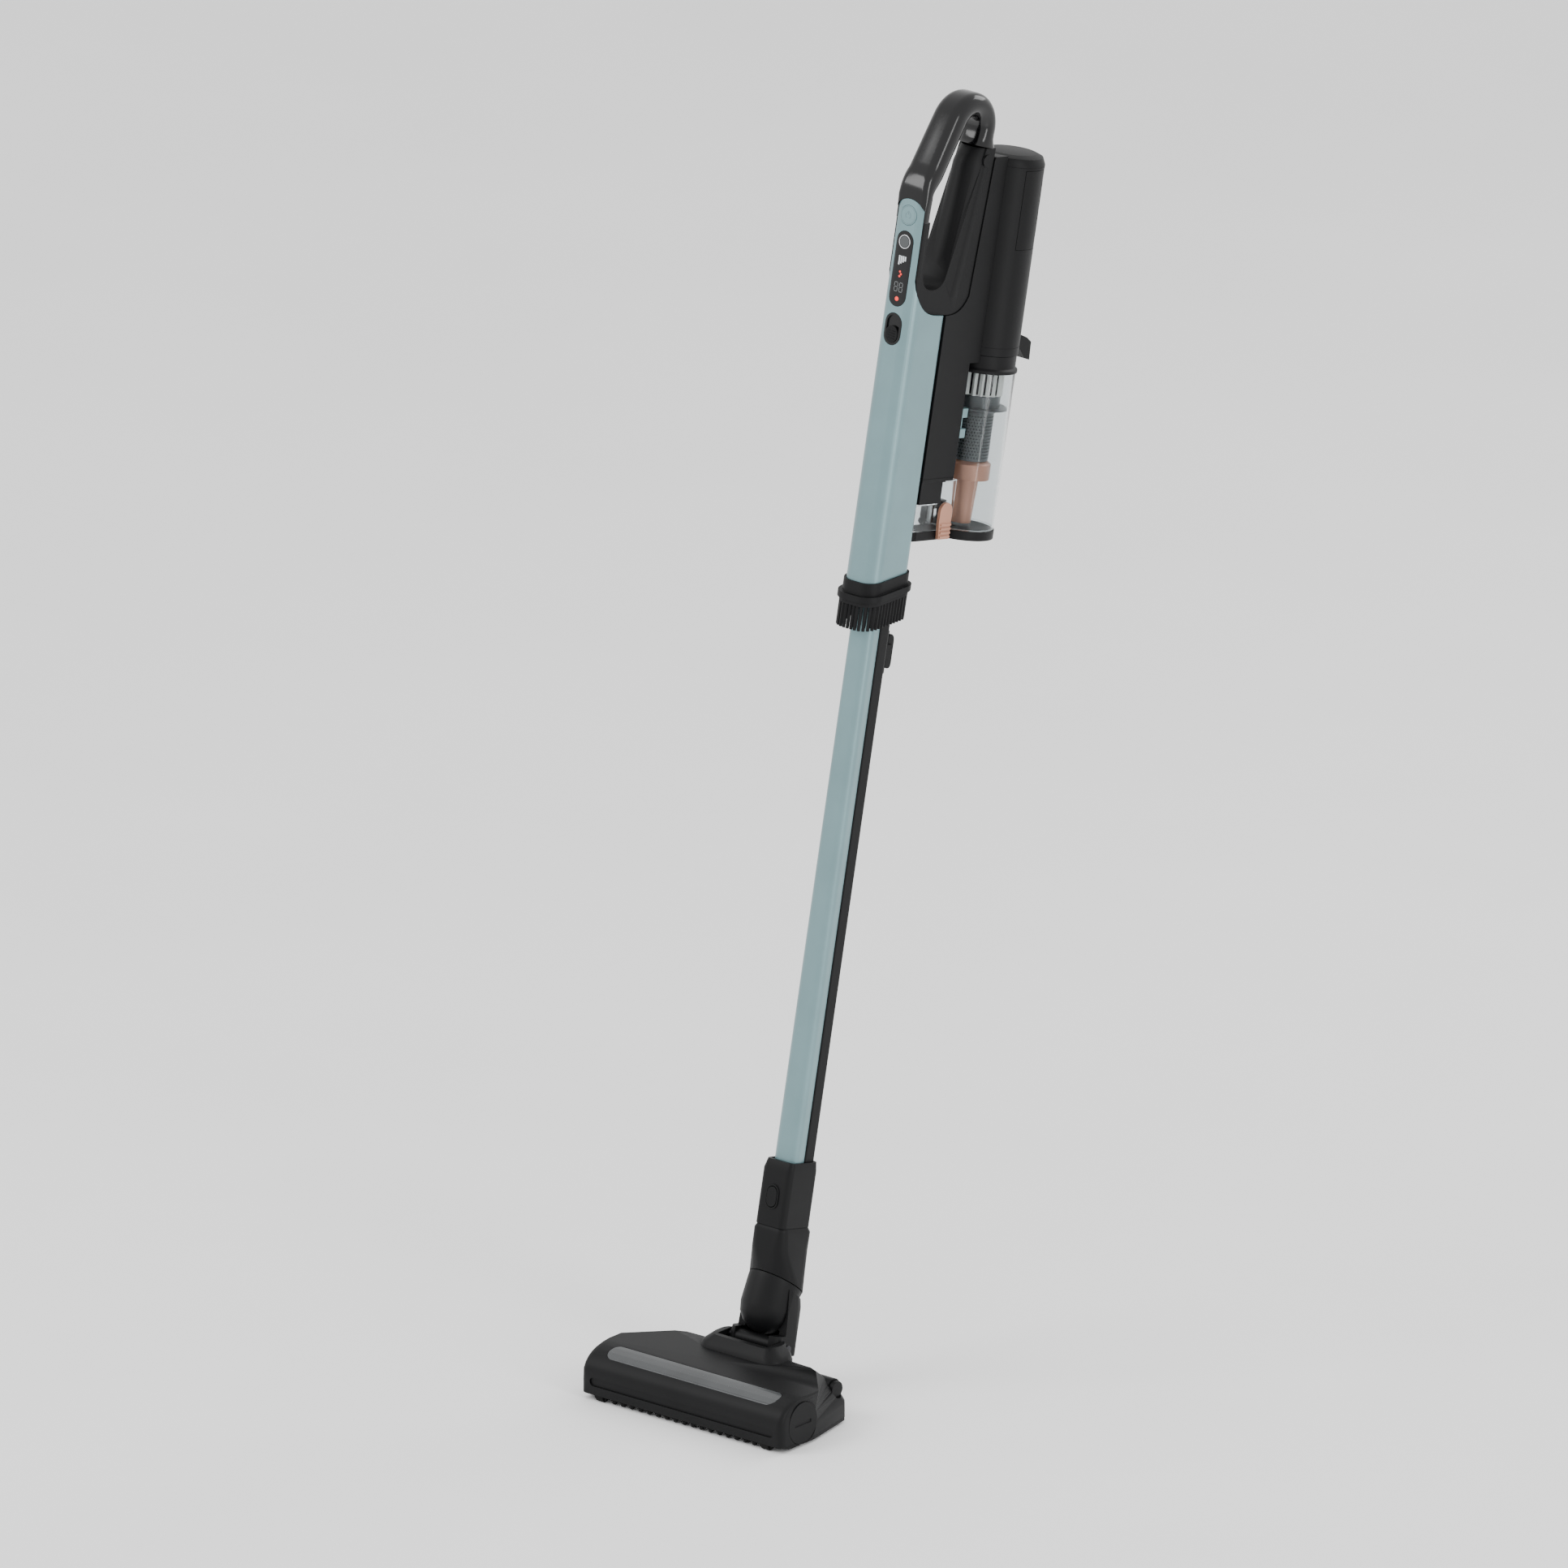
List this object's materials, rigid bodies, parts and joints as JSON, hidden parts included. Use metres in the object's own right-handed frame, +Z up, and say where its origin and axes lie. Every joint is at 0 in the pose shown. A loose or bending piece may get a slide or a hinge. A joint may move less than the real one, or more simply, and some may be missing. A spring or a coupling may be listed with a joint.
{
  "type": "upright vacuum cleaner",
  "caption": "Cordless stick vacuum cleaner: wide floor head, swivelling neck, long flat-sided tube and a hand unit with a loop handle, clear cyclone bin and rear motor",
  "frame": {"origin": "on the floor, under the centre of the whole object's bounding box", "axes": "+Z up, +X across the floor head, the head's front edge faces -Y and the stick leans back towards +Y"},
  "size_m": [0.25, 0.5258, 1.2429],
  "materials": {
    "teal_paint": "satin",
    "black_matt": "matt",
    "black_gloss": "gloss",
    "clear_plastic": "clear",
    "copper_tone": "satin",
    "smoke_grey": "gloss",
    "filter_paper": "pleated",
    "foam": "foam",
    "bristle": "bristle",
    "rubber": "matt",
    "steel": "brushed",
    "board_green": "matt",
    "cell_wrap": "satin",
    "window_grey": "gloss"
  },
  "bodies": {
    "hand_unit": {"pod_shell": "teal_paint", "display_window": "black_gloss", "slider_bezel": "black_gloss", "control_board": "board_green", "nozzle_socket": "black_matt", "brush_collar": "black_matt", "dusting_brush": "bristle", "grip_frame": "black_matt", "handle_loop": "black_gloss", "battery_spine": "black_matt", "battery_cells": "cell_wrap", "battery_catch": "black_matt", "bin_guide_lugs": "teal_paint", "motor_housing": "black_matt", "exhaust_cover": "black_matt", "exhaust_filter": "foam", "suction_motor": "steel"},
    "power_key": {"power_button": "teal_paint"},
    "mode_key": {"mode_button": "smoke_grey"},
    "slider": {"release_slider": "black_matt"},
    "fan": {"fan_impeller": "steel"},
    "dust_bin": {"bin_shell": "clear_plastic", "inlet_gasket": "rubber", "bin_collar": "black_matt", "motor_filter": "filter_paper", "filter_seat": "smoke_grey", "cyclone_shroud": "smoke_grey", "cyclone_cone": "copper_tone", "lid_hinge_bracket": "black_matt"},
    "lid": {"bin_lid": "black_matt"},
    "catch": {"lid_catch": "copper_tone"},
    "bin_lever": {"bin_release_lever": "black_matt"},
    "tube": {"tube_front_profile": "teal_paint", "tube_cable_channel": "black_matt", "tube_latch_base": "black_matt", "tube_cuff": "black_matt"},
    "tube_lever": {"tube_latch_lever": "black_matt"},
    "cuff_button": {"head_release_button": "black_matt"},
    "upper_neck": {"neck_upper": "black_matt"},
    "lower_neck": {"neck_knuckle": "black_matt", "neck_yoke": "black_matt"},
    "floor_head": {"head_hood": "black_matt", "head_window": "window_grey", "sole_plate": "black_matt", "tilt_pin": "steel", "brush_end_cap": "black_matt", "brush_motor": "steel", "drive_belt": "rubber", "suction_duct": "smoke_grey", "neck_hose": "rubber"},
    "roll": {"brush_roll": "bristle"},
    "motor_shaft": {"brush_motor_pulley": "steel"},
    "side_button": {"brush_release_button": "black_matt"},
    "roller_left": {"front_roller_left": "rubber"},
    "roller_right": {"front_roller_right": "rubber"},
    "wheel_left": {"rear_wheel_left": "rubber"},
    "wheel_right": {"rear_wheel_right": "rubber"}
  },
  "joints": [
    {"name": "power_press", "type": "slide", "parent": "hand_unit", "child": "power_key", "axis": [0, 0.9763, -0.2164], "range_m": [0, 0.0012], "stiffness_N_per_m": 900},
    {"name": "mode_press", "type": "slide", "parent": "hand_unit", "child": "mode_key", "axis": [0, 0.9763, -0.2164], "range_m": [0, 0.0008], "stiffness_N_per_m": 900},
    {"name": "release_slide", "type": "slide", "parent": "hand_unit", "child": "slider", "axis": [0, 0.2164, 0.9763], "range_m": [0, 0.008], "stiffness_N_per_m": 120},
    {"name": "fan_spin", "type": "hinge", "parent": "hand_unit", "child": "fan", "pos_m": [0, 0.19734, 1.00308], "axis": [0, 0.2164, 0.9763], "continuous": true},
    {"name": "bin_pull", "type": "slide", "parent": "hand_unit", "child": "dust_bin", "axis": [0, 0.9763, -0.2164], "range_m": [0, 0.12]},
    {"name": "lid_open", "type": "hinge", "parent": "dust_bin", "child": "lid", "pos_m": [-0.0365, 0.15222, 0.79952], "axis": [0, 0.9763, -0.2164], "range_deg": [0, 100]},
    {"name": "catch_swing", "type": "hinge", "parent": "dust_bin", "child": "catch", "pos_m": [0.0165, 0.11402, 0.83513], "axis": [0, 0.9763, -0.2164], "range_deg": [-10, 0], "stiffness_Nm_per_rad": 0.4},
    {"name": "bin_lever_press", "type": "slide", "parent": "dust_bin", "child": "bin_lever", "axis": [0, -0.2164, -0.9763], "range_m": [0, 0.004], "stiffness_N_per_m": 500},
    {"name": "tube_pull", "type": "slide", "parent": "hand_unit", "child": "tube", "axis": [0, -0.2164, -0.9763], "range_m": [0, 0.05]},
    {"name": "tube_lever_press", "type": "hinge", "parent": "tube", "child": "tube_lever", "pos_m": [0, 0.03859, 0.70743], "axis": [1, 0, 0], "range_deg": [0, 5], "stiffness_Nm_per_rad": 1},
    {"name": "cuff_button_press", "type": "slide", "parent": "tube", "child": "cuff_button", "axis": [0, 0.9763, -0.2164], "range_m": [0, 0.0018], "stiffness_N_per_m": 900},
    {"name": "head_pull", "type": "slide", "parent": "tube", "child": "upper_neck", "axis": [0, -0.2164, -0.9763], "range_m": [0, 0.03]},
    {"name": "neck_swivel", "type": "hinge", "parent": "upper_neck", "child": "lower_neck", "pos_m": [0, -0.12098, 0.10775], "axis": [0, 0.6361, 0.7716], "range_deg": [-90, 90]},
    {"name": "head_tilt", "type": "hinge", "parent": "lower_neck", "child": "floor_head", "pos_m": [0, -0.1509, 0.056], "axis": [1, 0, 0], "range_deg": [-12.5, 67.5]},
    {"name": "brush_spin", "type": "hinge", "parent": "floor_head", "child": "roll", "pos_m": [0, -0.2302, 0.024], "axis": [1, 0, 0], "continuous": true},
    {"name": "brush_motor_spin", "type": "hinge", "parent": "floor_head", "child": "motor_shaft", "pos_m": [0, -0.1899, 0.024], "axis": [1, 0, 0], "continuous": true},
    {"name": "side_button_press", "type": "slide", "parent": "floor_head", "child": "side_button", "axis": [-1, 0, 0], "range_m": [0, 0.003], "stiffness_N_per_m": 900},
    {"name": "front_roller_left_spin", "type": "hinge", "parent": "floor_head", "child": "roller_left", "pos_m": [-0.103, -0.25749, 0.005], "axis": [1, 0, 0], "continuous": true},
    {"name": "rear_wheel_left_spin", "type": "hinge", "parent": "floor_head", "child": "wheel_left", "pos_m": [-0.088, -0.1639, 0.008], "axis": [1, 0, 0], "continuous": true},
    {"name": "front_roller_right_spin", "type": "hinge", "parent": "floor_head", "child": "roller_right", "pos_m": [0.103, -0.25749, 0.005], "axis": [1, 0, 0], "continuous": true},
    {"name": "rear_wheel_right_spin", "type": "hinge", "parent": "floor_head", "child": "wheel_right", "pos_m": [0.088, -0.1639, 0.008], "axis": [1, 0, 0], "continuous": true}
  ],
  "couplings": [
    {"joint": "brush_motor_spin", "follows": "brush_spin", "ratio": 1.8}
  ]
}
